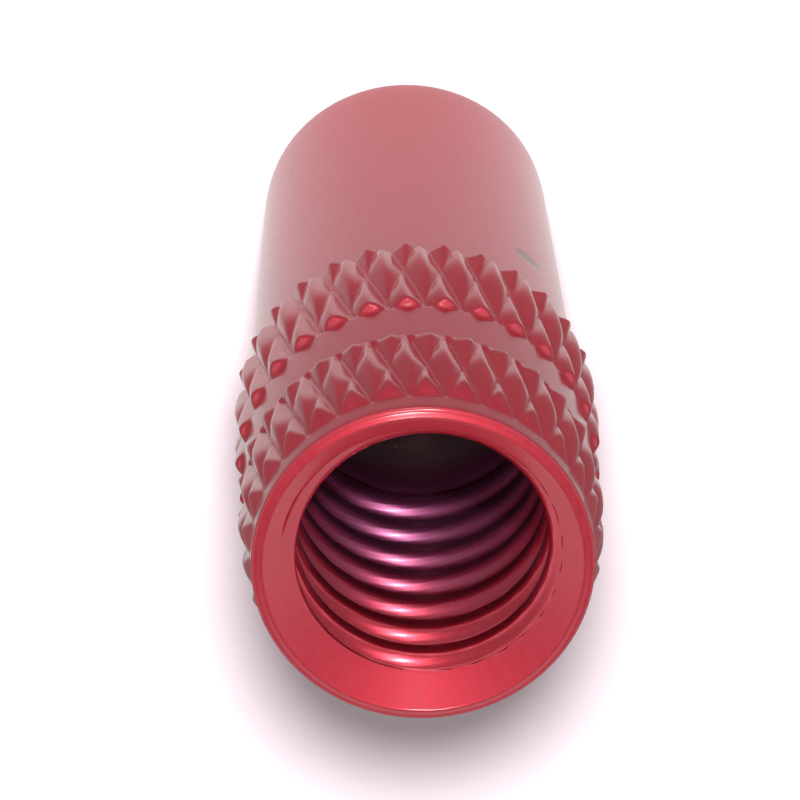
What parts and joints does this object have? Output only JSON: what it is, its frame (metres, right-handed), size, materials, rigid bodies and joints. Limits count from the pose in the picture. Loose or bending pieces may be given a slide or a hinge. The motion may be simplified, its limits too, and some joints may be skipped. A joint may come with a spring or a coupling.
{
  "type": "tyre valve cap",
  "caption": "Slim turned tyre valve cap with two diamond-knurled bands, a tapered plain nose, a flat closed end and a coarse threaded mouth.",
  "frame": {"origin": "centre of the flat closed end, which the cap stands on", "axes": "+Z along the cap's axis, from the closed end out of the mouth; X and Y across it"},
  "size_m": [0.0066, 0.0066, 0.0154],
  "materials": {
    "anodised_aluminium": "red anodised, satin turned surface with knurled bands"
  },
  "bodies": {
    "root": {"cap": "anodised_aluminium"}
  },
  "joints": []
}
